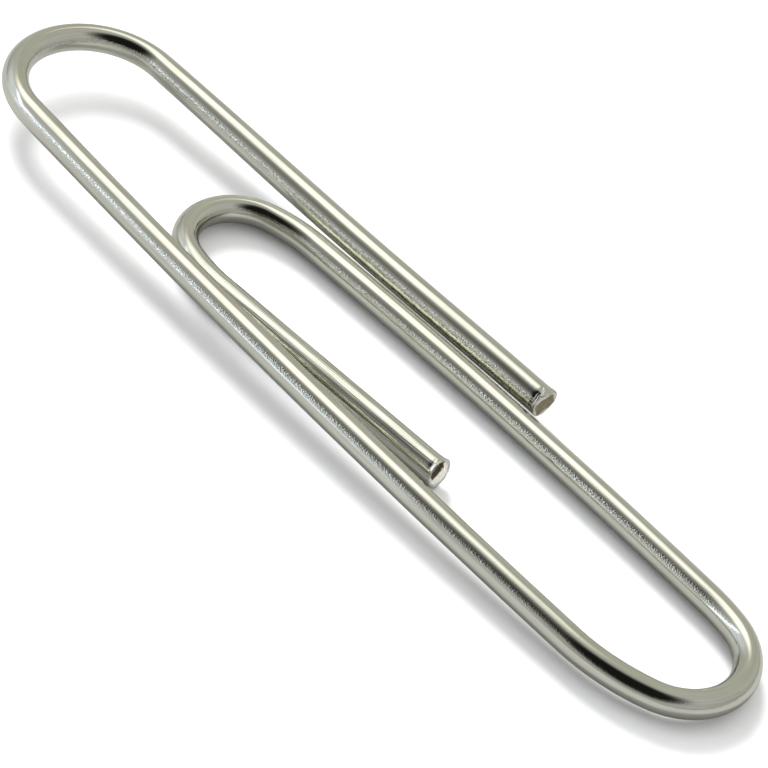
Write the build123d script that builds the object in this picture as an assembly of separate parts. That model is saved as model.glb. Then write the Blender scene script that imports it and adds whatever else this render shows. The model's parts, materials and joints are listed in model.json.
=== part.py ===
from build123d import *
import math
import os

# Sizes in millimetres and degrees. Radii and lengths are those of the wire's centreline.
wire_diameter = 0.93
# Room between neighbouring legs when the two loops lie in one plane
side_gap = 0.05

# Near bend, which both loops share: a round crown with a wider shoulder towards each long leg
near_bend_radius = 2.26
near_shoulder_radius = 6.8
outer_shoulder_turn = 24.2
inner_shoulder_turn = 10.2

# Long legs: each leaves the near bend leaning outwards and bows back
inner_leg_length = 17.7
inner_leg_lean = 3.6
inner_leg_bow_radius = 220
outer_leg_overreach = 7.9
outer_leg_lean = 0.4
outer_leg_bow_radius = 308

# Inner bend: a round crown between two wider shoulders
inner_bend_turn = 180.7
inner_bend_shoulder_radius = 5.6
inner_bend_entry_turn = 18.8
inner_bend_exit_turn = 16.9

# Far bend, one round arc
far_bend_turn = 175.1

# Free legs and their sheared ends
short_outer_leg_length = 18.15
short_inner_leg_length = 9.5
outer_end_bevel_angle = 14
outer_end_bevel_height = 0.09
outer_end_bevel_slant = 4
inner_end_step_depth = 0.08
inner_end_step_height = 0.01
inner_end_step_slant = 25

# How far the outer loop stands open at rest
rest_opening = 1.55

wire_radius = wire_diameter / 2
leg_pitch = wire_diameter + side_gap
outer_leg_length = inner_leg_length + outer_leg_overreach
samples_along_an_arc = 30
settling_tolerance = 0.0001


def arc_after(edge, radius, turn):
    """Arc that goes on from the end of an edge; a positive turn bends to the left."""
    return JernArc(edge @ 1, edge % 1, radius, turn)


def line_after(edge, length):
    """Straight run that goes on from the end of an edge."""
    return Line(edge @ 1, edge @ 1 + (edge % 1) * length)


def bow(length, radius):
    """Turn in degrees of a leg of this length bowed to this radius."""
    return math.degrees(length / radius)


def points_on(edges):
    """Evenly spaced points of the centreline along several edges."""
    steps = [i / samples_along_an_arc for i in range(samples_along_an_arc + 1)]
    return [edge @ step for edge in edges for step in steps]


def settled_radius(spare_room, low, high):
    """Radius between low and high at which the spare room, a rising function, is nil."""
    while high - low > settling_tolerance:
        middle = (low + high) / 2
        if spare_room(middle) > 0:
            high = middle
        else:
            low = middle
    return high


# Centreline of the near bend and the long legs, from the crown of the near bend
crown = Vector(0, 0, wire_radius)
outer_crown = JernArc(crown, (0, -1), near_bend_radius, outer_shoulder_turn + outer_leg_lean - 90)
outer_shoulder = arc_after(outer_crown, near_shoulder_radius, -outer_shoulder_turn)
outer_leg = arc_after(outer_shoulder, outer_leg_bow_radius, -bow(outer_leg_length, outer_leg_bow_radius))
inner_crown = JernArc(crown, (0, 1), near_bend_radius, 90 - inner_shoulder_turn - inner_leg_lean)
inner_shoulder = arc_after(inner_crown, near_shoulder_radius, inner_shoulder_turn)
inner_leg = arc_after(inner_shoulder, inner_leg_bow_radius, bow(inner_leg_length, inner_leg_bow_radius))


def inner_end(radius):
    """Arcs of the inner bend with this crown radius, and the free leg after it."""
    crown_turn = inner_bend_turn - inner_bend_entry_turn - inner_bend_exit_turn
    entry = arc_after(inner_leg, inner_bend_shoulder_radius, inner_bend_entry_turn)
    middle = arc_after(entry, radius, crown_turn)
    leaving = arc_after(middle, inner_bend_shoulder_radius, inner_bend_exit_turn)
    return [entry, middle, leaving, line_after(leaving, short_inner_leg_length)]


def inner_crowding(radius):
    """How much nearer than one leg pitch the inner end comes to the long outer leg."""
    bow_centre = outer_leg.arc_center
    reach = max((point - bow_centre).length for point in points_on(inner_end(radius)))
    return reach + leg_pitch - outer_leg_bow_radius


inner_bend_radius = settled_radius(inner_crowding, 0, 2 * near_bend_radius)
inner_entry, inner_middle, inner_leaving, inner_free_leg = inner_end(inner_bend_radius)


def outer_end(radius):
    """Far bend of this radius, and the free leg after it."""
    bend = arc_after(outer_leg, radius, -far_bend_turn)
    return [bend, line_after(bend, short_outer_leg_length)]


def outer_room(radius):
    """Room left between the free outer leg and the inner loop, past one leg pitch."""
    free_leg = outer_end(radius)[1]
    outward = (free_leg % 0).rotate(Axis.Z, 90)
    neighbours = points_on([inner_leg, inner_entry, inner_middle])
    reach = max(point.dot(outward) for point in neighbours)
    return (free_leg @ 0).dot(outward) - reach - leg_pitch


far_bend_radius = settled_radius(outer_room, 0, 4 * near_bend_radius)
far_arc, outer_free_leg = outer_end(far_bend_radius)


def wire_along(*edges):
    """Round wire along edges of the centreline that follow each other."""
    runs = []
    for edge in edges:
        section = Plane(origin=edge @ 0, z_dir=edge % 0) * Circle(wire_radius)
        runs.append(sweep(section, path=edge))
    wire = runs[0]
    for run in runs[1:]:
        wire = wire + run
    return wire


def end_plane(leg):
    """Plane of a free leg's end, with its Y axis up and its Z axis out of the wire."""
    outwards = leg % 1
    return Plane(origin=leg @ 1, x_dir=Vector(0, 0, 1).cross(outwards), z_dir=outwards)


def sheared(wire, edge):
    """Wire less what lies above and outside an edge, which is the X axis of a place."""
    size = 4 * wire_diameter
    return wire - edge * Box(size, size, size, align=(Align.CENTER, Align.MIN, Align.MIN))


# Sheared ends: a bevel over the top of the outer one, a torn step in the inner one, both a little aslant
bevel_place = end_plane(outer_free_leg) * Rot(0, 0, outer_end_bevel_slant) * Pos(0, outer_end_bevel_height, 0)
bevel_edge = bevel_place * Rot(-outer_end_bevel_angle, 0, 0)
step_place = end_plane(inner_free_leg) * Rot(0, 0, inner_end_step_slant)
step_edge = step_place * Pos(0, inner_end_step_height, -inner_end_step_depth)

outer_loop = {
    "short_outer_leg": sheared(wire_along(outer_free_leg), bevel_edge),
    "far_bend": wire_along(far_arc),
    "long_outer_leg": wire_along(outer_leg),
    "near_bend_outer_half": wire_along(outer_crown, outer_shoulder),
}
inner_loop = {
    "near_bend_inner_half": wire_along(inner_crown, inner_shoulder),
    "long_inner_leg": wire_along(inner_leg),
    "inner_bend": wire_along(inner_entry, inner_middle, inner_leaving),
    "short_inner_leg": sheared(wire_along(inner_free_leg), step_edge),
}

# The outer loop twists up about the wire at the crown of the near bend
twist_axis = Axis(crown, (0, 1, 0))
pieces = {name: piece.rotate(twist_axis, rest_opening) for name, piece in outer_loop.items()}
pieces.update(inner_loop)

# The origin is below the middle of the clip, on the surface that the inner loop lies on
box = Compound(list(pieces.values())).bounding_box()
to_origin = Pos(-box.center().X, -box.center().Y, -box.min.Z)

os.makedirs("parts", exist_ok=True)
for name, piece in pieces.items():
    export_step(to_origin * piece, f"parts/{name}.step")

hinge = crown + to_origin.position
print("overall size", box.size)
print("hinge point", hinge, "along +Y")
print("far bend radius", round(far_bend_radius, 4), "inner bend radius", round(inner_bend_radius, 4))
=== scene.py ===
# %% [markdown]
# A paper clip is one length of plated steel wire. A machine feeds it straight, bends it three times and
# shears it off. The clip's solids from CAD are loaded first and stay where they are: every piece made
# below sits on them and moves with them, so what is seen here and what moves in a simulation are the same
# clip.

# %% Load the clip's solids
import json
import math
from collections import namedtuple

import bmesh
import bpy
from mathutils import Matrix, Vector, noise


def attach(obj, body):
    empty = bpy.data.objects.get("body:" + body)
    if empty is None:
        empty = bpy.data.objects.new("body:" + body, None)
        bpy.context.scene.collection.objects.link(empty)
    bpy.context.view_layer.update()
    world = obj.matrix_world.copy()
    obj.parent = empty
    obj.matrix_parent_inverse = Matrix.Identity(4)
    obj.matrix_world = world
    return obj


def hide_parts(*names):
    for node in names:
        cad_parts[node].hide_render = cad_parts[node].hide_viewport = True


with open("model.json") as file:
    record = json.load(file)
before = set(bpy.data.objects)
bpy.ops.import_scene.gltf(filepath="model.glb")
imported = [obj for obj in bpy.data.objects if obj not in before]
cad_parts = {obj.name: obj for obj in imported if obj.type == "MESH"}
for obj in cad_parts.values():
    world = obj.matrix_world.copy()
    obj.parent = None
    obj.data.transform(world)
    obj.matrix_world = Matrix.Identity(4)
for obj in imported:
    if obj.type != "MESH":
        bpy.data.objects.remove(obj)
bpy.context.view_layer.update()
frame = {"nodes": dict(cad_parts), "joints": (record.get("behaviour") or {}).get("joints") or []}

MM = 0.001
print("solids:", sorted(frame["nodes"]))

# %% [markdown]
# The photograph looks down on the clip from beside its near bend, with a long lens held close and turned
# a little in the hand. A Blender camera looks along its own -Z axis, so its matrix can be written
# straight from three directions: rightwards, upwards and backwards in the picture. That leaves no angle
# to guess from a rotation order.

# %% Camera
camera_bearing = math.radians(-55.777)
camera_height = math.radians(40.609)
camera_turn = math.radians(17.386)
camera_distance = 96.6586 * MM
camera_target = Vector((1.3148, -0.3526, 0.465)) * MM
sensor_width = 36.0
camera_lens = 147.878
nearest_seen = 1 * MM
farthest_seen = 10


def towards(bearing, height):
    """Unit vector towards a compass bearing from +X and a height above the horizon, in radians."""
    level = math.cos(height)
    return Vector((level * math.cos(bearing), level * math.sin(bearing), math.sin(height)))


backwards = towards(camera_bearing, camera_height)
level_right = Vector((0, 0, 1)).cross(backwards).normalized()
level_up = backwards.cross(level_right)
rightwards = level_right * math.cos(camera_turn) + level_up * math.sin(camera_turn)
upwards = level_up * math.cos(camera_turn) - level_right * math.sin(camera_turn)

camera_data = bpy.data.cameras.new("photo_camera")
camera_data.sensor_width = sensor_width
camera_data.lens = camera_lens
camera_data.clip_start = nearest_seen
camera_data.clip_end = farthest_seen
camera = bpy.data.objects.new("photo_camera", camera_data)
camera_axes = Matrix((rightwards, upwards, backwards)).transposed().to_4x4()
camera.matrix_world = Matrix.Translation(camera_target + backwards * camera_distance) @ camera_axes
bpy.context.scene.collection.objects.link(camera)
bpy.context.scene.camera = camera
print("camera at mm:", [round(x / MM, 2) for x in camera.location])

# %% [markdown]
# Node trees make the wire's shape, its finish and the studio. Two short helpers keep those cells
# readable: one adds a node with its settings, the other gives a tree its named inputs and outputs.

# %% Helpers for node trees
FLOAT, INT, VECTOR = "NodeSocketFloat", "NodeSocketInt", "NodeSocketVector"
GEOMETRY, FINISH = "NodeSocketGeometry", "NodeSocketMaterial"


def add(tree, kind, inputs=None, **settings):
    """Adds a node of this kind; a value in inputs is set on the socket, a socket is linked to it."""
    made = tree.nodes.new(kind)
    for name, value in settings.items():
        setattr(made, name, value)
    for name, value in (inputs or {}).items():
        if isinstance(value, bpy.types.NodeSocket):
            tree.links.new(value, made.inputs[name])
        else:
            made.inputs[name].default_value = value
    return made


def new_tree(name, kind, inputs, outputs):
    """Node group with these named sockets, with its input and output nodes."""
    tree = bpy.data.node_groups.new(name, kind)
    for socket, socket_type in inputs.items():
        tree.interface.new_socket(socket, in_out="INPUT", socket_type=socket_type)
    for socket, socket_type in outputs.items():
        tree.interface.new_socket(socket, in_out="OUTPUT", socket_type=socket_type)
    return tree, tree.nodes.new("NodeGroupInput").outputs, tree.nodes.new("NodeGroupOutput").inputs


print("helpers ready")

# %% [markdown]
# Polished wire has hardly any colour of its own: what the eye reads on it is the room, with its lamps,
# its window and its dark side. Those could be modelled as glowing cards, but painting them on the world
# is simpler, and nothing of them gets in the way when the camera goes round. One node group paints them
# all: it says how far a line of sight is inside an oval with soft edges.

# %% Soft panel, a shape that the studio uses six times
panel_tree, panel_in, panel_out = new_tree(
    "soft_panel",
    "ShaderNodeTree",
    {"Look": VECTOR, "Facing": VECTOR, "Across": VECTOR, "Along": VECTOR, "Edge": FLOAT},
    {"Inside": FLOAT},
)
least_depth = 0.001


def dot(tree, a, b):
    """How far one vector reaches along another."""
    return add(tree, "ShaderNodeVectorMath", {0: a, 1: b}, operation="DOT_PRODUCT").outputs["Value"]


def maths(tree, operation, a, b=0.0):
    """What a Math node makes of two values."""
    return add(tree, "ShaderNodeMath", {0: a, 1: b}, operation=operation).outputs["Value"]


def spread(tree, value, low, high, start, end, smooth=False):
    """Value from low to high turned into one from start to end, evenly or with a smooth start and end."""
    made = add(
        tree,
        "ShaderNodeMapRange",
        {"Value": value, "From Min": low, "From Max": high, "To Min": start, "To Max": end},
        interpolation_type="SMOOTHSTEP" if smooth else "LINEAR",
    )
    return made.outputs["Result"]


in_front = maths(panel_tree, "MAXIMUM", dot(panel_tree, panel_in["Look"], panel_in["Facing"]), least_depth)
aside = maths(panel_tree, "DIVIDE", dot(panel_tree, panel_in["Look"], panel_in["Across"]), in_front)
aloft = maths(panel_tree, "DIVIDE", dot(panel_tree, panel_in["Look"], panel_in["Along"]), in_front)
aside_square = maths(panel_tree, "MULTIPLY", aside, aside)
aloft_square = maths(panel_tree, "MULTIPLY", aloft, aloft)
off_middle = maths(panel_tree, "POWER", maths(panel_tree, "ADD", aside_square, aloft_square), 0.5)
edge_start = maths(panel_tree, "SUBTRACT", 1.0, panel_in["Edge"])
edge_end = maths(panel_tree, "ADD", 1.0, panel_in["Edge"])
inside_panel = spread(panel_tree, off_middle, edge_start, edge_end, 1.0, 0.0, smooth=True)
panel_tree.links.new(inside_panel, panel_out["Inside"])
print("panel nodes:", len(panel_tree.nodes))

# %% [markdown]
# The room itself is plain grey, a little lighter overhead than at the horizon. A picture of a real studio
# could stand in for it, but then the wire would mirror whatever else is in that picture. In the world's
# shader, Generated coordinates are the direction in which a ray looks, and their Z value is its height.

# %% Grey room
grey_at_horizon = 0.395
grey_overhead = 0.48
height_of_full_grey = 0.6
world = bpy.data.worlds.new("grey_studio")
world.use_nodes = True
bpy.context.scene.world = world
room = world.node_tree
room.nodes.clear()


def grey(tree, shade):
    """Colour with this much of red, green and blue alike."""
    made = add(tree, "ShaderNodeCombineColor", {"Red": shade, "Green": shade, "Blue": shade})
    return made.outputs["Color"]


look = add(room, "ShaderNodeTexCoord").outputs["Generated"]
height_of_look = add(room, "ShaderNodeSeparateXYZ", {"Vector": look}).outputs["Z"]
room_light = spread(
    room, height_of_look, 0.0, height_of_full_grey, grey_at_horizon, grey_overhead, smooth=True
)
room_colour = grey(room, room_light)
print("grey from", grey_at_horizon, "to", grey_overhead)

# %% [markdown]
# Six soft panels hang in that room: a faintly warm wall behind the clip, a dark side where the camera
# stands, a wide glow from a window low on the left, a cool strip lamp in that glow, and a white panel
# with a warmer rim high up behind the clip. Each is mixed over what is behind it, so their order matters.
# The Mix node keeps its colour sockets behind those for numbers and vectors, which is why they are picked
# by place here.

# %% Panels of the room
Panel = namedtuple("Panel", "colour bearing height turn half_width half_height edge")
MIX_SHARE, MIX_FIRST, MIX_SECOND, MIX_RESULT = 0, 6, 7, 2
dark_side = (0.010, 0.010, 0.009)
window_glow = (0.73, 0.77, 0.83)
cool_lamp = (1.9, 2.15, 2.7)
warm_wall = (0.475, 0.475, 0.435)
panel_rim = (0.56, 0.53, 0.41)
warm_panel = (1.42, 1.42, 1.41)


def blend(tree, share, first, second):
    """Colour between two others, each a socket or a trio of red, green and blue."""
    ends = [found if isinstance(found, bpy.types.NodeSocket) else (*found, 1) for found in (first, second)]
    sockets_of_mix = {MIX_SHARE: share, MIX_FIRST: ends[0], MIX_SECOND: ends[1]}
    return add(tree, "ShaderNodeMix", sockets_of_mix, data_type="RGBA").outputs[MIX_RESULT]


def hang_panel(behind, colour, bearing, height, turn, half_width, half_height, edge):
    """Panel of light or dark over what is behind it; all but colour and edge are angles in degrees."""
    facing = towards(math.radians(bearing), math.radians(height))
    level = Vector((0, 0, 1)).cross(facing).normalized()
    steep = facing.cross(level)
    lean = math.radians(turn)
    across = level * math.cos(lean) + steep * math.sin(lean)
    along = steep * math.cos(lean) - level * math.sin(lean)
    oval = add(
        room,
        "ShaderNodeGroup",
        {
            "Look": look,
            "Facing": facing,
            "Across": across / math.tan(math.radians(half_width)),
            "Along": along / math.tan(math.radians(half_height)),
            "Edge": edge,
        },
        node_tree=panel_tree,
    )
    return blend(room, oval.outputs["Inside"], behind, colour)


panels = (
    Panel(warm_wall, 120, 35, 0, 50, 40, 0.5),
    Panel(dark_side, -73, 52, 0, 37, 37, 0.45),
    Panel(window_glow, -146, 13, -38, 50, 18.5, 0.7),
    Panel(cool_lamp, -139, 25, -40, 26, 3.6, 0.6),
    Panel(panel_rim, 160, 57.5, 8, 24.5, 16, 0.45),
    Panel(warm_panel, 160, 57.5, 8, 21.5, 13, 0.4),
)
for panel in panels:
    room_colour = hang_panel(room_colour, *panel)
backdrop = add(room, "ShaderNodeBackground", {"Color": room_colour, "Strength": 1.0})
add(room, "ShaderNodeOutputWorld", {"Surface": backdrop.outputs["Background"]})
bpy.context.scene.view_settings.view_transform = "Standard"
print("panels:", len(panels), "room nodes:", len(room.nodes))

# %% [markdown]
# The shadows on the card come from a key light behind the clip on the left. Three wide fill lights all
# round keep them pale without a shadow of their own that the eye could find. All are sun lamps, whose
# light is the same everywhere, with an angle that says how soft the shadows are. They would show in the
# wire as hard discs, so reflections do not see them: there the panels do that work.

# %% Key light and fill lights
fill_bearings = (30, 150, 270)


def hang_sun(name, bearing, height, energy, softness):
    """Sun lamp that shines from a bearing and height, with its softness, all in degrees."""
    sun_data = bpy.data.lights.new(name, "SUN")
    sun_data.energy = energy
    sun_data.angle = math.radians(softness)
    sun = bpy.data.objects.new(name, sun_data)
    sun.rotation_mode = "QUATERNION"
    sun.rotation_quaternion = towards(math.radians(bearing), math.radians(height)).to_track_quat("Z", "Y")
    sun.visible_glossy = False
    bpy.context.scene.collection.objects.link(sun)


hang_sun("key_light", bearing=153, height=34.7, energy=4.2, softness=25)
for number, bearing in enumerate(fill_bearings, start=1):
    hang_sun(f"fill_light_{number}", bearing=bearing, height=45, energy=0.78, softness=100)
print("lamps:", [found.name for found in bpy.data.lights])

# %% [markdown]
# The clip lies on a sheet of plain pale card, lit so that it is pure white to the camera. A card as
# bright as that would fill the underside of the wire with white, and in the photograph the wire's
# underside is grey, so rays that come off the wire see a greyer card: the Light Path node tells those
# rays from the camera's. A fine noise gives the card its tooth.

# %% Finish of the card
card_white = 0.90
card_in_reflections = 0.42
tooth_scale = 1800.0
tooth_detail = 3.0
tooth_shade = 0.02
card_material = bpy.data.materials.new("pale_card")
card_material.use_nodes = True
card_nodes = card_material.node_tree
card_place = add(card_nodes, "ShaderNodeTexCoord").outputs["Object"]
tooth = add(
    card_nodes, "ShaderNodeTexNoise", {"Vector": card_place, "Scale": tooth_scale, "Detail": tooth_detail}
).outputs["Fac"]
card_tone = spread(card_nodes, tooth, 0, 1, card_white - tooth_shade, card_white + tooth_shade)
off_the_wire = add(card_nodes, "ShaderNodeLightPath").outputs["Is Glossy Ray"]
card_dimming = spread(card_nodes, off_the_wire, 0, 1, 1.0, card_in_reflections)
card_colour = grey(card_nodes, maths(card_nodes, "MULTIPLY", card_tone, card_dimming))
card_shader = card_nodes.nodes["Principled BSDF"]
card_nodes.links.new(card_colour, card_shader.inputs["Base Color"])
card_shader.inputs["Roughness"].default_value = 0.9
card_shader.inputs["Specular IOR Level"].default_value = 0.1
print("card nodes:", len(card_nodes.nodes))

# %% [markdown]
# Bent wire never lies quite flat. This clip leans on its long inner leg, so the card falls away a little
# from there towards the long outer leg, which parts that leg's shadow from it. The card is one large face.

# %% Pale card
card_size = 1.2
card_drop = 0.07 * MM
card_fall = 0.012
touch_line = 1.9 * MM
half_card = card_size / 2
low_side = -card_drop + card_fall * (-half_card - touch_line)
high_side = -card_drop + card_fall * (half_card - touch_line)
card_mesh = bpy.data.meshes.new("pale_card")
card_mesh.from_pydata(
    [
        (-half_card, -half_card, low_side),
        (half_card, -half_card, low_side),
        (half_card, half_card, high_side),
        (-half_card, half_card, high_side),
    ],
    [],
    [(0, 1, 2, 3)],
)
card_mesh.materials.append(card_material)
card = bpy.data.objects.new("pale_card", card_mesh)
bpy.context.scene.collection.objects.link(card)
print("card of", card_size, "m")

# %% [markdown]
# The wire was drawn through a die before it was plated, and the die left fine lines along it. They are
# too shallow to see as lines, but they break up the edge of every reflection into bright and dark flecks.
# The pattern must follow the wire round its bends, so it is worked out on the wire as it was while still
# straight: each point carries its place on the straight wire in an attribute, and noise is stretched
# along that. The same group serves coarse lines, fine grains and patches.

# %% Draw lines
PLACE_ON_STRAIGHT_WIRE = "straight_wire"
line_roughness = 0.55
lines_tree, lines_in, lines_out = new_tree(
    "draw_lines",
    "ShaderNodeTree",
    {"Place": VECTOR, "Line Length": FLOAT, "Line Width": FLOAT, "Detail": FLOAT},
    {"Height": FLOAT},
)
per_length = maths(lines_tree, "DIVIDE", 1.0, lines_in["Line Length"])
per_width = maths(lines_tree, "DIVIDE", 1.0, lines_in["Line Width"])
stretch = add(lines_tree, "ShaderNodeCombineXYZ", {"X": per_length, "Y": per_width, "Z": per_width})
stretched = add(
    lines_tree,
    "ShaderNodeVectorMath",
    {0: lines_in["Place"], 1: stretch.outputs["Vector"]},
    operation="MULTIPLY",
).outputs["Vector"]
line_noise = add(
    lines_tree,
    "ShaderNodeTexNoise",
    {"Vector": stretched, "Scale": 1.0, "Detail": lines_in["Detail"], "Roughness": line_roughness},
)
lines_tree.links.new(line_noise.outputs["Fac"], lines_out["Height"])


def place_on_wire(tree):
    """Place of a point on the wire while it was straight: along it, leftwards and upwards, in metres."""
    return add(tree, "ShaderNodeAttribute", attribute_name=PLACE_ON_STRAIGHT_WIRE).outputs["Vector"]


def draw_lines(tree, place, length, width, detail):
    """Noise drawn out along the wire, from 0 to 1; sizes in millimetres."""
    made = add(
        tree,
        "ShaderNodeGroup",
        {"Place": place, "Line Length": length * MM, "Line Width": width * MM, "Detail": detail},
        node_tree=lines_tree,
    )
    return made.outputs["Height"]


print("draw line nodes:", len(lines_tree.nodes))

# %% [markdown]
# The rollers that fed the wire have a V-shaped groove, so they touch it along four lines, each halfway
# between a side and the top or bottom, and leave a row of small bright marks there. The place on the
# straight wire tells how near a point is to one of those lines: halfway round, its distances sideways and
# upwards are equal, and an offset moves the line towards the side.

# %% Marks of the feed rollers
mark_core = 0.4
mark_fringe = 1.6
roller_tree, roller_in, roller_out = new_tree(
    "roller_marks",
    "ShaderNodeTree",
    {"Place": VECTOR, "Wire Radius": FLOAT, "Offset": FLOAT, "Half Width": FLOAT},
    {"Share": FLOAT},
)
roller_place = add(roller_tree, "ShaderNodeSeparateXYZ", {"Vector": roller_in["Place"]}).outputs
sideways = maths(roller_tree, "DIVIDE", roller_place["Y"], roller_in["Wire Radius"])
upright = maths(roller_tree, "DIVIDE", roller_place["Z"], roller_in["Wire Radius"])
sideways_square = maths(roller_tree, "MULTIPLY", sideways, sideways)
upright_square = maths(roller_tree, "MULTIPLY", upright, upright)
lopsided = maths(roller_tree, "SUBTRACT", sideways_square, upright_square)
off_line = maths(roller_tree, "ABSOLUTE", maths(roller_tree, "SUBTRACT", lopsided, roller_in["Offset"]))
core_end = maths(roller_tree, "MULTIPLY", roller_in["Half Width"], mark_core)
fringe_end = maths(roller_tree, "MULTIPLY", roller_in["Half Width"], mark_fringe)
on_line = spread(roller_tree, off_line, core_end, fringe_end, 1.0, 0.0, smooth=True)
roller_tree.links.new(on_line, roller_out["Share"])
print("roller mark nodes:", len(roller_tree.nodes))

# %% [markdown]
# The wire turned a little on its way through the rollers, so their marks wander round it. In the near
# bend and on the tongue, where fingers and paper rub most, they are worn away. Both change along the
# wire, so Map Range nodes make them from a point's place on it. That place counts from the crown of the
# near bend: upwards along the outer loop, and downwards, below nil, along the inner one.

# %% Marks along the plated wire
wire_radius = 0.465
mark_half_width = 0.26
worn_in_near_bend = 0.15
worn_on_tongue = 0.08
plated = bpy.data.materials.new("plated_wire")
plated.use_nodes = True
plated_nodes = plated.node_tree
place = place_on_wire(plated_nodes)
along_wire = add(plated_nodes, "ShaderNodeSeparateXYZ", {"Vector": place}).outputs["X"]


def between(start, end, first, last):
    """Value that goes from first to last between two places along the wire, in millimetres."""
    return spread(plated_nodes, along_wire, start * MM, end * MM, first, last)


def plated_maths(operation, a, b):
    """What a Math node in the plating makes of two values."""
    return maths(plated_nodes, operation, a, b)


wander_out = between(start=18, end=28, first=0.06, last=0.45)
wander_on = between(start=28, end=44, first=0, last=0.15)
wander_back = between(start=-6, end=-19, first=0.06, last=0.26)
mark_offset = plated_maths("ADD", plated_maths("ADD", wander_out, wander_on), wander_back)
all_marks = add(
    plated_nodes,
    "ShaderNodeGroup",
    {"Place": place, "Wire Radius": wire_radius * MM, "Offset": mark_offset, "Half Width": mark_half_width},
    node_tree=roller_tree,
).outputs["Share"]
kept_outwards = between(start=3, end=16, first=worn_in_near_bend, last=1)
kept_inwards = between(start=-2.5, end=-6.5, first=worn_in_near_bend, last=1)
kept_before_tongue = between(start=-28, end=-22, first=worn_on_tongue, last=1)
kept = plated_maths("MULTIPLY", plated_maths("MAXIMUM", kept_outwards, kept_inwards), kept_before_tongue)
marks = plated_maths("MULTIPLY", all_marks, kept)
print("nodes so far:", len(plated_nodes.nodes))

# %% [markdown]
# The plating is thin, bright and faintly yellow-green, and it is a metal, so Metallic is 1 and the base
# colour is the colour of its reflections. Handling leaves it duller in places: the coarse lines drive
# Roughness, and together with the patches they drive Base Color. The grains of the marks go into a Bump
# node with the draw lines, which are deeper on the tongue's free leg. Real relief so fine would take
# millions of faces. The node's distance is 1, so it takes its heights in metres.

# %% Plated wire
WIDE_NOISE = (0.3, 0.7)
NARROW_NOISE = (0.35, 0.65)
PATCH_NOISE = (0.35, 0.7)
grain_threshold = 0.44
grain_height = 0.0205 * MM
grains_off_marks = 0.04
line_depth = 0.0012 * MM
tongue_line_depth = 0.011 * MM
dull_by_lines = 0.6
dull_by_patches = 0.4
bright_plating = (0.82, 0.82, 0.72)
dull_plating = (0.66, 0.66, 0.56)
smoothest_plating = 0.06
roughest_plating = 0.12
fine_grains = draw_lines(plated_nodes, place, length=0.060, width=0.046, detail=1.0)
coarse_lines = draw_lines(plated_nodes, place, length=3.0, width=0.07, detail=2.0)
dull_patches = draw_lines(plated_nodes, place, length=1.6, width=0.6, detail=3.0)
raised_grains = spread(plated_nodes, fine_grains, grain_threshold, 1.0, 0, 1 - grain_threshold)
grains = plated_maths("MULTIPLY", raised_grains, spread(plated_nodes, marks, 0, 1, grains_off_marks, 1))
depth_here = between(start=-31, end=-26, first=tongue_line_depth, last=line_depth)
lines_here = plated_maths("MULTIPLY", coarse_lines, depth_here)
skin_height = plated_maths("ADD", plated_maths("MULTIPLY", grains, grain_height), lines_here)
skin_bump = add(plated_nodes, "ShaderNodeBump", {"Strength": 1.0, "Distance": 1.0, "Height": skin_height})
dullness = plated_maths(
    "ADD",
    spread(plated_nodes, coarse_lines, *NARROW_NOISE, 0, dull_by_lines),
    spread(plated_nodes, dull_patches, *PATCH_NOISE, 0, dull_by_patches),
)
plated_colour = blend(plated_nodes, dullness, bright_plating, dull_plating)
plated_roughness = spread(plated_nodes, coarse_lines, *WIDE_NOISE, smoothest_plating, roughest_plating)
plated_shader = plated_nodes.nodes["Principled BSDF"]
plated_nodes.links.new(plated_colour, plated_shader.inputs["Base Color"])
plated_nodes.links.new(plated_roughness, plated_shader.inputs["Roughness"])
plated_nodes.links.new(skin_bump.outputs["Normal"], plated_shader.inputs["Normal"])
plated_shader.inputs["Metallic"].default_value = 1.0
print("plated wire nodes:", len(plated_nodes.nodes))

# %% [markdown]
# The cutter first smears the plating over the cut and then breaks through the steel. The break is bare:
# dull, grainy and brownish where it has begun to rust. One noise makes the grain, a larger one the rust.

# %% Broken steel
bare_steel = (0.42, 0.375, 0.25)
rusty_steel = (0.28, 0.245, 0.15)
smoothest_break = 0.42
roughest_break = 0.62
break_depth = 0.012 * MM
broken = bpy.data.materials.new("broken_steel")
broken.use_nodes = True
broken_nodes = broken.node_tree
broken_place = place_on_wire(broken_nodes)
break_grain = draw_lines(broken_nodes, broken_place, length=0.05, width=0.05, detail=4.0)
rust = draw_lines(broken_nodes, broken_place, length=0.3, width=0.22, detail=3.0)
broken_colour = blend(broken_nodes, spread(broken_nodes, rust, *WIDE_NOISE, 0, 1), bare_steel, rusty_steel)
broken_roughness = spread(broken_nodes, break_grain, *WIDE_NOISE, smoothest_break, roughest_break)
break_bump = add(
    broken_nodes, "ShaderNodeBump", {"Strength": 1.0, "Distance": break_depth, "Height": break_grain}
)
broken_shader = broken_nodes.nodes["Principled BSDF"]
broken_nodes.links.new(broken_colour, broken_shader.inputs["Base Color"])
broken_nodes.links.new(broken_roughness, broken_shader.inputs["Roughness"])
broken_nodes.links.new(break_bump.outputs["Normal"], broken_shader.inputs["Normal"])
broken_shader.inputs["Metallic"].default_value = 1.0
print("broken steel nodes:", len(broken_nodes.nodes))

# %% [markdown]
# Where the cutter's blade slid over the steel before it broke, the face is smeared and pale. It is
# fine-grained and scatters light, so it is only partly metallic here: that lets it take light from the
# card in front of it.

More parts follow.
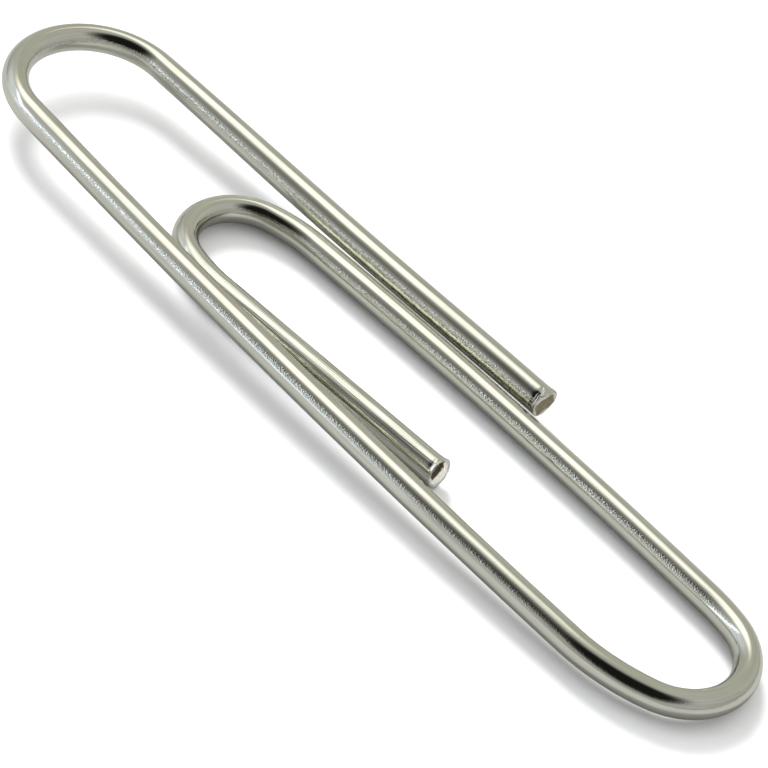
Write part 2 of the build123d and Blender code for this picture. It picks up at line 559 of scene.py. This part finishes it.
# %% Cut steel
pale_cut = (1.0, 0.97, 0.87)
smeared_cut = (0.86, 0.83, 0.75)
smoothest_cut = 0.35
roughest_cut = 0.55
cut = bpy.data.materials.new("cut_steel")
cut.use_nodes = True
cut_nodes = cut.node_tree
smears = draw_lines(cut_nodes, place_on_wire(cut_nodes), length=0.2, width=0.08, detail=3.0)
cut_colour = blend(cut_nodes, spread(cut_nodes, smears, *NARROW_NOISE, 0, 1), pale_cut, smeared_cut)
cut_roughness = spread(cut_nodes, smears, *WIDE_NOISE, smoothest_cut, roughest_cut)
cut_shader = cut_nodes.nodes["Principled BSDF"]
cut_nodes.links.new(cut_colour, cut_shader.inputs["Base Color"])
cut_nodes.links.new(cut_roughness, cut_shader.inputs["Roughness"])
cut_shader.inputs["Metallic"].default_value = 0.2
print("cut steel nodes:", len(cut_nodes.nodes))

# %% [markdown]
# The route of the wire is a chain of arcs, each going on from the end of the one before, as a bending
# machine makes them: feed, bend, feed. A curve drawn by hand could look like it, but it would not keep to
# the CAD solids as these arcs do. Both loops start at the crown of the near bend and go opposite ways
# round. A stretch is a list of (radius, turn) in millimetres and degrees, where a positive turn bends
# left, or (None, length) for straight wire.

# %% Bends of the two loops
near_radius = 2.26
near_shoulder = 6.8
far_radius = 2.7384
tongue_radius = 1.8889
tongue_shoulder = 5.6


def bowed(length, radius):
    """Leg of this length bowed to this radius, as one long arc."""
    return (abs(radius), math.degrees(length / radius))


outer_stretches = {
    "near_bend_outer_half": [(near_radius, -65.4), (near_shoulder, -24.2)],
    "long_outer_leg": [bowed(25.6, -308)],
    "far_bend": [(far_radius, -175.1)],
    "short_outer_leg": [(None, 18.15)],
}
inner_stretches = {
    "near_bend_inner_half": [(near_radius, 76.2), (near_shoulder, 10.2)],
    "long_inner_leg": [bowed(17.7, 220)],
    "inner_bend": [(tongue_shoulder, 18.8), (tongue_radius, 145.0), (tongue_shoulder, 16.9)],
    "short_inner_leg": [(None, 9.5)],
}
print("stretches:", list(outer_stretches) + list(inner_stretches))

# %% [markdown]
# Walking along the chain gives stations on the centreline, closer together where the bend is tight. Each
# knows its place in the loop's plane, the way the wire heads there and how far along the wire it is. Two
# very short steps at both ends of each arc make the smooth shading there come out square to the wire, so
# that no seam shows where two stretches meet. The free outer leg has been pulled down a little in its
# middle by use.

# %% Stations along the wire
straight_step = 0.3
turn_step = math.radians(1.8)
end_steps = [0.004, 0.018]
sag = {"short_outer_leg": 0.10}
Station = namedtuple("Station", "x y rise heading along")


def walk(stretches, start_heading):
    """Stations of each stretch, in millimetres and radians."""
    x, y, heading, along = 0.0, 0.0, start_heading, 0.0
    walked = {}
    for name, moves in stretches.items():
        stations = []
        for radius, amount in moves:
            turn = 0.0 if radius is None else math.radians(amount)
            length = amount if radius is None else radius * abs(turn)
            steps = max(math.ceil(length / straight_step), math.ceil(abs(turn) / turn_step))
            places = [length * step / steps for step in range(steps + 1)]
            places += end_steps + [length - step for step in end_steps]
            curvature = turn / length
            for gone in sorted(places)[1 if stations else 0 :]:
                half_turn = curvature * gone / 2
                chord = gone if turn == 0 else 2 * math.sin(half_turn) / curvature
                stations.append(
                    Station(
                        x=x + chord * math.cos(heading + half_turn),
                        y=y + chord * math.sin(heading + half_turn),
                        rise=-sag.get(name, 0.0) * math.sin(math.pi * gone / length) ** 2,
                        heading=heading + 2 * half_turn,
                        along=along + gone,
                    )
                )
            reached = stations[-1]
            x, y, heading, along = reached.x, reached.y, reached.heading, reached.along
        walked[name] = stations
    return walked


outer_stations = walk(outer_stretches, -math.pi / 2)
inner_stations = walk(inner_stretches, math.pi / 2)
print("stations:", {name: len(found) for name, found in {**outer_stations, **inner_stations}.items()})

# %% [markdown]
# Cold bending flattens the wire a little: the tighter the bend, the narrower the section gets between its
# inside and its outside. The flattening does not start at once where a bend starts, so it follows the
# bend averaged over a short way before and after each place. The crown of the near bend is the start of
# both loops, so the bend goes on before it.

# %% Flattening in the bends
squeeze_share = 0.16
easing = 0.6


def spans_of(stretches):
    """Start, end and bend per mm of each arc of a loop."""
    spans = []
    start = 0.0
    for moves in stretches.values():
        for radius, amount in moves:
            length = amount if radius is None else radius * math.radians(abs(amount))
            spans.append((start, start + length, 0.0 if radius is None else 1 / radius))
            start += length
    return spans


def turned_by(spans, along):
    """How far the wire has turned, in radians, between the crown and a place along it."""
    if along < 0:
        return along * spans[0][2]
    return sum(bend * max(0.0, min(along, end) - start) for start, end, bend in spans)


def squeeze_at(spans, along):
    """Share of the wire's width lost at a place along it."""
    bend = (turned_by(spans, along + easing) - turned_by(spans, along - easing)) / (2 * easing)
    return squeeze_share * bend * 2 * wire_radius


outer_spans = spans_of(outer_stretches)
inner_spans = spans_of(inner_stretches)
print("flattening at the crown:", round(squeeze_at(outer_spans, 0.0), 3))

# %% [markdown]
# A round section swept along those stations is the wire. Geometry Nodes do the sweep, because the same
# rule serves all eight stretches: the tree turns a chain of points into a curve and runs a circle along
# it. Each point keeps its place on that circle, and its place on the straight wire goes into the
# attribute that the finish reads.

# %% Tree that sweeps the wire
sweep_tree, sweep_in, sweep_out = new_tree(
    "round_wire_on_stations",
    "GeometryNodeTree",
    {"Stations": GEOMETRY, "Wire Radius": FLOAT, "Steps Around": INT, "Finish": FINISH},
    {"Wire": GEOMETRY},
)


def read(name, data_type="FLOAT_VECTOR"):
    """Attribute of this name on the points of the wire."""
    named = add(sweep_tree, "GeometryNodeInputNamedAttribute", {"Name": name}, data_type=data_type)
    return named.outputs["Attribute"]


def store(geometry, name, value):
    """Geometry whose points carry this vector under this name."""
    stored = add(
        sweep_tree,
        "GeometryNodeStoreNamedAttribute",
        {"Geometry": geometry, "Name": name, "Value": value},
        data_type="FLOAT_VECTOR",
        domain="POINT",
    )
    return stored.outputs["Geometry"]


centreline = add(sweep_tree, "GeometryNodeMeshToCurve", {"Mesh": sweep_in["Stations"]}).outputs["Curve"]
circle = add(
    sweep_tree,
    "GeometryNodeCurvePrimitiveCircle",
    {"Resolution": sweep_in["Steps Around"], "Radius": sweep_in["Wire Radius"]},
    mode="RADIUS",
).outputs["Curve"]
section = store(circle, "round", add(sweep_tree, "GeometryNodeInputPosition").outputs["Position"])
swept = add(
    sweep_tree,
    "GeometryNodeCurveToMesh",
    {"Curve": centreline, "Profile Curve": section, "Fill Caps": True},
).outputs["Mesh"]
on_circle = add(sweep_tree, "ShaderNodeSeparateXYZ", {"Vector": read("round")}).outputs
straight_place = add(
    sweep_tree,
    "ShaderNodeCombineXYZ",
    {"X": read("along", "FLOAT"), "Y": on_circle["X"], "Z": on_circle["Y"]},
).outputs["Vector"]
marked = store(swept, PLACE_ON_STRAIGHT_WIRE, straight_place)
print("sweep nodes so far:", len(sweep_tree.nodes))

# %% [markdown]
# The sweep alone would turn the section a little where the wire bends. So each point of the skin is set
# once more, from the centre, the side and the lift that its station carries: then two stretches that meet
# share exactly the same ring. The flattening takes its share off the way to the side. What was only a
# help on the way is removed at the end.

# %% Skin of the wire
HELPERS = ("centre", "side", "lift", "along", "squeeze", "round")


def along_vector(vector, amount):
    """Vector made this many times as long."""
    scaled = add(sweep_tree, "ShaderNodeVectorMath", {0: vector, "Scale": amount}, operation="SCALE")
    return scaled.outputs["Vector"]


def vector_sum(first, second):
    """Both vectors, one after the other."""
    return add(sweep_tree, "ShaderNodeVectorMath", {0: first, 1: second}, operation="ADD").outputs["Vector"]


width_left = maths(sweep_tree, "SUBTRACT", 1.0, read("squeeze", "FLOAT"))
leftwards = maths(sweep_tree, "MULTIPLY", on_circle["X"], width_left)
to_skin = vector_sum(along_vector(read("side"), leftwards), along_vector(read("lift"), on_circle["Y"]))
skin = add(
    sweep_tree,
    "GeometryNodeSetPosition",
    {"Geometry": marked, "Position": vector_sum(read("centre"), to_skin)},
).outputs["Geometry"]
for helper in HELPERS:
    without = add(sweep_tree, "GeometryNodeRemoveAttribute", {"Geometry": skin, "Name": helper})
    skin = without.outputs["Geometry"]
smooth_skin = add(sweep_tree, "GeometryNodeSetShadeSmooth", {"Geometry": skin}).outputs["Geometry"]
real_skin = add(sweep_tree, "GeometryNodeRealizeInstances", {"Geometry": smooth_skin}).outputs["Geometry"]
finished = add(
    sweep_tree, "GeometryNodeSetMaterial", {"Geometry": real_skin, "Material": sweep_in["Finish"]}
).outputs["Geometry"]
sweep_tree.links.new(finished, sweep_out["Wire"])
print("sweep nodes:", len(sweep_tree.nodes))

# %% [markdown]
# The inner loop lies flat. The outer loop stands a little open, turned about the wire at the crown, and
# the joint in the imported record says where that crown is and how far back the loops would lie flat.

# %% From a loop's plane to the clip
joint = frame["joints"][0]
crown = Vector(joint["pos_m"])
rest_opening = math.radians(-joint["range_deg"][0])
opened = Matrix.Rotation(rest_opening, 3, "Y")
flat = Matrix.Identity(3)


def frame_at(station, turned):
    """Centre, left side, lift and heading of the wire at a station, in metres."""
    ahead = turned @ Vector((math.cos(station.heading), math.sin(station.heading), 0))
    lift = turned @ Vector((0, 0, 1))
    centre = crown + turned @ Vector((station.x, station.y, station.rise)) * MM
    return centre, lift.cross(ahead), lift, ahead


print("crown in mm:", [round(x / MM, 3) for x in crown], "opening:", round(math.degrees(rest_opening), 2))

# %% [markdown]
# Each stretch starts as a chain of points on its stations, with the attributes that the tree reads. In
# the photograph the free outer leg looks a little thicker than the rest of the wire, so its section grows
# over its first millimetres.

# %% Chain of points for one stretch
wider = {"short_outer_leg": 0.08}
higher = {"short_outer_leg": 0.06}
settling_length = 7.0


def within_one(share):
    """The share, but no less than 0 and no more than 1."""
    return min(max(share, 0.0), 1.0)


def eased(share):
    """Smooth rise from 0 to 1 as the share goes from 0 to 1."""
    limited = within_one(share)
    return limited * limited * (3 - 2 * limited)


def chain_of(name, stations, spans, turned, way):
    """Chain of points on the stations; the way is -1 where the wire runs towards its start."""
    settled = [eased((station.along - stations[0].along) / settling_length) for station in stations]
    frames = [frame_at(station, turned) for station in stations]
    centres = [centre for centre, side, lift, ahead in frames]
    vectors = {
        "centre": centres,
        "side": [side for centre, side, lift, ahead in frames],
        "lift": [found[2] * (1 + higher.get(name, 0.0) * share) for found, share in zip(frames, settled)],
    }
    squeezes = [squeeze_at(spans, station.along) for station in stations]
    numbers = {
        "along": [way * station.along * MM for station in stations],
        "squeeze": [lost - wider.get(name, 0.0) * share for lost, share in zip(squeezes, settled)],
    }
    chain = bpy.data.meshes.new(name + "_stations")
    chain.from_pydata(centres, [(i, i + 1) for i in range(len(centres) - 1)], [])
    for attribute, found in vectors.items():
        made = chain.attributes.new(attribute, "FLOAT_VECTOR", "POINT")
        made.data.foreach_set("vector", [x for vector in found for x in vector])
    for attribute, found in numbers.items():
        made = chain.attributes.new(attribute, "FLOAT", "POINT")
        made.data.foreach_set("value", found)
    return chain


print("wider:", wider, "higher:", higher)

# %% [markdown]
# One stretch is swept at a time. The modifier could stay on its piece, but the result is kept as a plain
# mesh, so that single points and faces can be added at the free ends next.

# %% Sweep one stretch
steps_around = 72
sockets = {item.name: item.identifier for item in sweep_tree.interface.items_tree if item.in_out == "INPUT"}


def sweep(name, stations, spans, turned, way):
    """Plain mesh of the wire along these stations."""
    chain = chain_of(name, stations, spans, turned, way)
    carrier = bpy.data.objects.new(name + "_stations", chain)
    bpy.context.scene.collection.objects.link(carrier)
    modifier = carrier.modifiers.new("sweep", "NODES")
    modifier.node_group = sweep_tree
    modifier[sockets["Wire Radius"]] = wire_radius * MM
    modifier[sockets["Steps Around"]] = steps_around
    modifier[sockets["Finish"]] = plated
    seen = bpy.context.evaluated_depsgraph_get()
    swept_mesh = bpy.data.meshes.new_from_object(carrier.evaluated_get(seen), depsgraph=seen)
    swept_mesh.name = name
    carrier.modifiers.remove(modifier)
    bpy.data.objects.remove(carrier)
    bpy.data.meshes.remove(chain)
    return swept_mesh


print("steps around the wire:", steps_around)

# %% [markdown]
# The free ends show how the wire was cut. They could be sculpted, but a rule can be read and changed: it
# says how far each point of the face is set back or proud, in wire radii over the plane of the end, with
# x to the left of the wire's heading and y up. Helpers for both ends tell how far a point is inside an
# outline with straight sides, and how uneven the steel is there.

# %% Helpers for the ends
PLATED, BROKEN, CUT = 0, 1, 2


def left_of(start, end, x, y):
    """How far a point lies to the left of the line from start to end."""
    (x0, y0), (x1, y1) = start, end
    return ((x1 - x0) * (y - y0) - (y1 - y0) * (x - x0)) / math.hypot(x1 - x0, y1 - y0)


def inside(outline, x, y):
    """How far a point is inside a convex outline with anticlockwise corners, less than nil outside it."""
    sides = zip(outline, outline[1:] + outline[:1])
    return min(left_of(start, end, x, y) for start, end in sides)


def rough(x, y, height, fineness, layer):
    """Unevenness up to this height either way, with more bumps the greater the fineness."""
    return height * noise.noise(Vector((fineness * x, fineness * y, layer)))


print("finishes of the ends:", PLATED, BROKEN, CUT)

# %% [markdown]
# On the outer end the cutter came from above. It crumpled the plating over the top, which falls back
# behind a ridge, and below that ridge the steel broke off flat, a little sunk inside a proud rim. The
# crumpling and the roughness are noise, each given by its height, fineness and layer.

# %% Shape of the outer end
outer_break = [(-0.42, -0.84), (0.60, -0.62), (0.86, -0.30), (0.62, 0.46), (-0.45, 0.42), (-0.90, 0.10)]
ridge_height = 0.42
bevel_slope = 0.30
outer_proud = 0.05
large_crumple = (0.26, 3.5, 0.7)
small_crumple = (0.16, 8.0, 2.1)
crumple_rise = 3
side_lip = 0.15
side_lip_start = 0.5
low_lip = 0.12
low_lip_start = 0.6
break_sunk = 0.07
break_wall = 4
break_roughness = (0.02, 6.0, 5.3)
outer_burr = 0.02
outer_burr_left = 0.05
outer_dent = 0.16
outer_dent_angle = math.radians(140)


def outer_end_finish(x, y):
    """Bare steel in the break, plating round it."""
    return BROKEN if inside(outer_break, x, y) > 0 else PLATED


def outer_end_height(x, y):
    """Crumpled plating that falls back above the ridge, and below it a flat break inside a proud rim."""
    fallen = max(y - ridge_height, 0.0)
    crumple = rough(x, y, *large_crumple) + rough(x, y, *small_crumple)
    lip = side_lip * max(0.0, x - side_lip_start) + low_lip * max(0.0, -y - low_lip_start)
    sunk = within_one(inside(outer_break, x, y) * break_wall) * (break_sunk + rough(x, y, *break_roughness))
    return outer_proud - bevel_slope * fallen + crumple * min(fallen * crumple_rise, 1.0) + lip - sunk


def outer_end_flare(angle):
    """Burr that stands out most on the left."""
    return outer_burr + outer_burr_left * max(0.0, math.cos(angle)) ** 2


def outer_end_pinch(angle):
    """Dent that the cutter left above on the right."""
    return outer_dent * max(0.0, math.cos(angle - outer_dent_angle)) ** 4


print("outer end: corners of the break", len(outer_break))

# %% [markdown]
# On the inner end the blade smeared most of the face, and the last of the steel tore out. The torn hollow
# is deepest along its foot and comes up from there to the rim, which is flared all round.

# %% Shape of the inner end
inner_tear = [(0.38, 0.84), (-0.25, 0.84), (-0.82, 0.16), (-0.52, -0.36), (0.52, 0.14)]
tear_foot = inner_tear[3:5]
cut_middle = (0.05, -0.05)
cut_radius = 0.76
inner_proud = 0.22
face_tilt = 0.12
tilt_aside = -0.3
tilt_up = -0.95
rim_start = 0.7
rim_width = 0.3
dish_depth = 0.10
face_roughness = (0.03, 5.0, 3.9)
depth_at_foot = 0.42
depth_lost = 0.34
tear_height = 0.75
tear_wall = 12
tear_roughness = (0.08, 4.0, 8.2)
inner_burr = 0.07
inner_burr_left = 0.05
inner_dent = 0.03
inner_dent_angle = math.radians(110)


def inner_end_finish(x, y):
    """Bare steel in the tear, a pale smear round it, plating at the rim."""
    if inside(inner_tear, x, y) > 0:
        return BROKEN
    return CUT if math.hypot(x - cut_middle[0], y - cut_middle[1]) < cut_radius else PLATED


def inner_end_height(x, y):
    """Torn hollow in a face that is smeared over below and has a flared rim all round."""
    tilt = inner_proud + face_tilt * (tilt_aside * x + tilt_up * y)
    rim = max(0.0, (math.hypot(x, y) - rim_start) / rim_width)
    face = tilt - dish_depth * (1 - min(rim, 1.0)) + rough(x, y, *face_roughness)
    risen = within_one(left_of(*tear_foot, x, y) / tear_height)
    depth = depth_at_foot - depth_lost * risen + rough(x, y, *tear_roughness)
    return face - depth * within_one(inside(inner_tear, x, y) * tear_wall)


def inner_end_flare(angle):
    """Burr all round, most on the left."""
    return inner_burr + inner_burr_left * math.cos(angle)


def inner_end_pinch(angle):
    """Slight dent on top."""
    return inner_dent * max(0.0, math.cos(angle - inner_dent_angle)) ** 2


print("inner end: corners of the tear", len(inner_tear))

# %% [markdown]
# An end is built as a cap of rings: a few rings up the side to the rim, then rings over the rim, then
# rings inwards to the middle. They start on the last ring of the swept leg, so that leg and end are one
# closed skin, and the leg is swept a little short to make room for them.

# %% Rings of a sheared end
end_length = 1.1
side_rows = (0.3, 0.5, 0.62, 0.70, 0.77, 0.83, 0.88, 0.92, 0.96)
rim_rows = ((1.0, -0.05), (0.992, -0.02), (0.972, -0.004))
face_rows = tuple(0.94 - 0.04 * i for i in range(23))
pinch_place = 0.80
pinch_width = 0.12
flare_power = 4


def rings_of_end(angles, height, finish_at, flare, pinch):
    """Rings of points (x, y, z) in wire radii, each with the finishes of the faces that lead up to it."""
    rings = []
    for share in side_rows:
        ring = []
        for angle in angles:
            rim = height(math.cos(angle), math.sin(angle)) + rim_rows[0][1]
            dent = pinch(angle) * math.exp(-(((share - pinch_place) / pinch_width) ** 2))
            swell = 1 + flare(angle) * share**flare_power - dent
            z = -end_length + (rim + end_length) * share
            ring.append((swell * math.cos(angle), swell * math.sin(angle), z))
        rings.append((ring, [PLATED] * len(angles)))
    for share, drop in rim_rows:
        ring = []
        for angle in angles:
            swell = (1 + flare(angle)) * share
            z = height(math.cos(angle), math.sin(angle)) + drop
            ring.append((swell * math.cos(angle), swell * math.sin(angle), z))
        rings.append((ring, [PLATED] * len(angles)))
    for share in face_rows:
        ring = []
        finishes = []
        for angle in angles:
            swell = 1 + flare(angle) * share**flare_power
            x = share * math.cos(angle)
            y = share * math.sin(angle)
            ring.append((x * swell, y * swell, height(x, y)))
            finishes.append(finish_at(x, y))
        rings.append((ring, finishes))
    return rings


print("rings in a cap:", len(side_rows) + len(rim_rows) + len(face_rows))

# %% [markdown]
# The cap is built with bmesh, which lets single points and faces be added to the swept mesh: the flat
# face that closed the leg goes, and quads join ring to ring up to a fan of wedges in the middle. Each new
# point also gets its place on the straight wire, so the finish runs on over the end.

# %% Build a sheared end
MOST_CORNERS_OF_SKIN = 4


def add_sheared_end(mesh, name, station, turned, way, height, finish_at, flare, pinch):
    """Takes the flat cap off the leg's free end and closes it with a sheared one."""
    centre, side, lift, ahead = frame_at(station, turned)
    radius = wire_radius * MM
    wide = side * (1 + wider.get(name, 0.0))
    high = lift * (1 + higher.get(name, 0.0))
    body = bmesh.new()
    body.from_mesh(mesh)
    place_layer = body.verts.layers.float_vector[PLACE_ON_STRAIGHT_WIRE]
    caps = [found for found in body.faces if len(found.verts) > MOST_CORNERS_OF_SKIN]
    cap = max(caps, key=lambda found: found.calc_center_median().dot(ahead))

    def angle_of(vertex):
        off_centre = vertex.co - centre
        return math.atan2(off_centre.dot(lift) / high.length, off_centre.dot(side) / wide.length)

    def point(x, y, z):
        made = body.verts.new(centre + (wide * x + high * y + ahead * z) * radius)
        made[place_layer] = Vector((way * (station.along * MM + z * radius), x * radius, y * radius))
        return made

    def face(corners, finish):
        made = body.faces.new(corners)
        made.smooth = True
        made.material_index = finish

    below = sorted(cap.verts, key=angle_of)
    angles = [angle_of(vertex) for vertex in below]
    body.faces.remove(cap)
    neighbours = [(i, (i + 1) % len(angles)) for i in range(len(angles))]
    for ring, finishes in rings_of_end(angles, height, finish_at, flare, pinch):
        above = [point(*place_in_end) for place_in_end in ring]
        for i, j in neighbours:
            face((below[i], below[j], above[j], above[i]), finishes[i])
        below = above
    middle = point(0, 0, height(0, 0))
    for i, j in neighbours:
        face((below[i], below[j], middle), finishes[i])
    bmesh.ops.recalc_face_normals(body, faces=body.faces)
    body.to_mesh(mesh)
    body.free()
    mesh.materials.append(broken)
    mesh.materials.append(cut)


print("an end takes", steps_around * (len(side_rows) + len(rim_rows) + len(face_rows)) + 1, "points")

# %% [markdown]
# Now the eight stretches. Each becomes a piece that stands for its CAD solid, wears the plated finish
# and rides on its loop. Their flat caps meet face to face inside the wire, so their edges are marked
# sharp, or the smooth shading would bend round them and show a seam.

# %% Pieces of the two loops
least_step = 0.05
sheared = {
    "short_outer_leg": (outer_end_height, outer_end_finish, outer_end_flare, outer_end_pinch),
    "short_inner_leg": (inner_end_height, inner_end_finish, inner_end_flare, inner_end_pinch),
}


def shortened(stations):
    """Stations of a straight free leg up to where its sheared end takes over."""
    start = stations[0]
    end = stations[-1]
    limit = end.along - end_length * wire_radius
    share = (limit - end.along) / (start.along - end.along)
    last_x = end.x + (start.x - end.x) * share
    last_y = end.y + (start.y - end.y) * share
    kept_stations = [station for station in stations if station.along < limit - least_step]
    return kept_stations + [end._replace(x=last_x, y=last_y, along=limit)]


def sharpen_caps(mesh):
    """Marks the edges of the flat caps sharp, and gives the volume, negative if faces look inwards."""
    body = bmesh.new()
    body.from_mesh(mesh)
    for found in body.faces:
        if len(found.verts) > MOST_CORNERS_OF_SKIN:
            found.smooth = False
            for edge in found.edges:
                edge.smooth = False
    volume = body.calc_volume(signed=True)
    body.to_mesh(mesh)
    body.free()
    return volume


def make_loop(body_name, walked, spans, turned, way):
    """Pieces of one loop; the way is -1 where the wire runs towards its start."""
    for name, stations in walked.items():
        if name in sheared:
            mesh = sweep(name, shortened(stations), spans, turned, way)
            add_sheared_end(mesh, name, stations[-1], turned, way, *sheared[name])
        else:
            mesh = sweep(name, stations, spans, turned, way)
        volume = sharpen_caps(mesh)
        piece = bpy.data.objects.new(name + "_wire", mesh)
        bpy.context.scene.collection.objects.link(piece)
        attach(piece, body_name)
        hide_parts(name)
        print(piece.name, "on", body_name, "faces", len(mesh.polygons), "mm3", round(volume / MM**3, 2))


make_loop("outer_loop", outer_stations, outer_spans, opened, 1)
make_loop("inner_loop", inner_stations, inner_spans, flat, -1)
